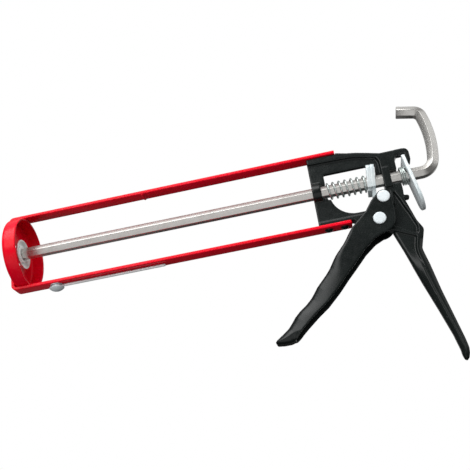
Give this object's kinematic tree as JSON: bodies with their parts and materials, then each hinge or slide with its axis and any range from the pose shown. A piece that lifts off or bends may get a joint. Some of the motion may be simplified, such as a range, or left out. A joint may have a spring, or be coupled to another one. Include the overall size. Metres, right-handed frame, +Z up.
{
  "type": "caulking gun",
  "caption": "Skeleton caulking gun with a red strap cradle and front cup, black die-cast body and handle, U-section trigger and hooked hexagonal push rod.",
  "frame": {"origin": "centre of the nozzle hole, in the outer face of the front plate", "axes": "+X runs back along the push rod towards its hook, +Z is up towards the hook's tip, and Y runs across the gun"},
  "size_m": [0.3275, 0.0544, 0.1953],
  "materials": {
    "red_enamel": "gloss red enamel on pressed steel",
    "black_enamel": "satin black powder coat with a fine orange peel",
    "zinc_plate": "bright zinc plated steel",
    "spring_steel": "zinc plated spring wire",
    "rivet_steel": "plain pale rivet, satin",
    "punch_wire": "drawn steel wire"
  },
  "bodies": {
    "frame": {"front_cup": "red_enamel", "top_strap": "red_enamel", "bottom_strap": "red_enamel", "top_rivet_front": "black_enamel", "top_rivet_rear": "black_enamel", "bottom_rivet_front": "black_enamel", "bottom_rivet_rear": "black_enamel", "body_casting": "black_enamel", "pivot_rivet": "rivet_steel", "return_spring": "spring_steel", "release_spring": "spring_steel", "punch_rivet": "rivet_steel", "punch_washer": "zinc_plate"},
    "trigger": {"trigger": "black_enamel", "drive_rivet": "rivet_steel", "drive_roller": "zinc_plate"},
    "grip": {"grip_plate_front": "zinc_plate", "grip_plate_rear": "zinc_plate"},
    "release": {"release_plate": "zinc_plate"},
    "rod": {"push_rod": "zinc_plate", "plunger_disc": "zinc_plate", "plunger_washer": "zinc_plate"},
    "punch": {"seal_punch": "punch_wire"}
  },
  "joints": [
    {"name": "trigger_squeeze", "type": "hinge", "parent": "frame", "child": "trigger", "pos_m": [0.27215, 0, -0.0316], "axis": [0, -1, 0], "range_deg": [0, 45], "stiffness_Nm_per_rad": 0.6, "springref_deg": -28.65},
    {"name": "grip_advance", "type": "slide", "parent": "frame", "child": "grip", "axis": [-1, 0, 0], "range_m": [0, 0.0131], "deforming": ["return_spring"]},
    {"name": "release_press", "type": "hinge", "parent": "frame", "child": "release", "pos_m": [0.2976, 0, 0.0122], "axis": [0, 1, 0], "range_deg": [0, 7], "stiffness_Nm_per_rad": 0.2, "springref_deg": -17.19, "deforming": ["release_spring"]},
    {"name": "rod_slide", "type": "slide", "parent": "frame", "child": "rod", "axis": [1, 0, 0], "range_m": [0, 0.218]},
    {"name": "punch_swing", "type": "hinge", "parent": "frame", "child": "punch", "pos_m": [0.0308, 0, -0.0312], "axis": [0, 0, 1], "range_deg": [-170, 170]}
  ],
  "couplings": [
    {"joint": "grip_advance", "follows": "trigger_squeeze", "m_per_rad": 0.01655}
  ]
}
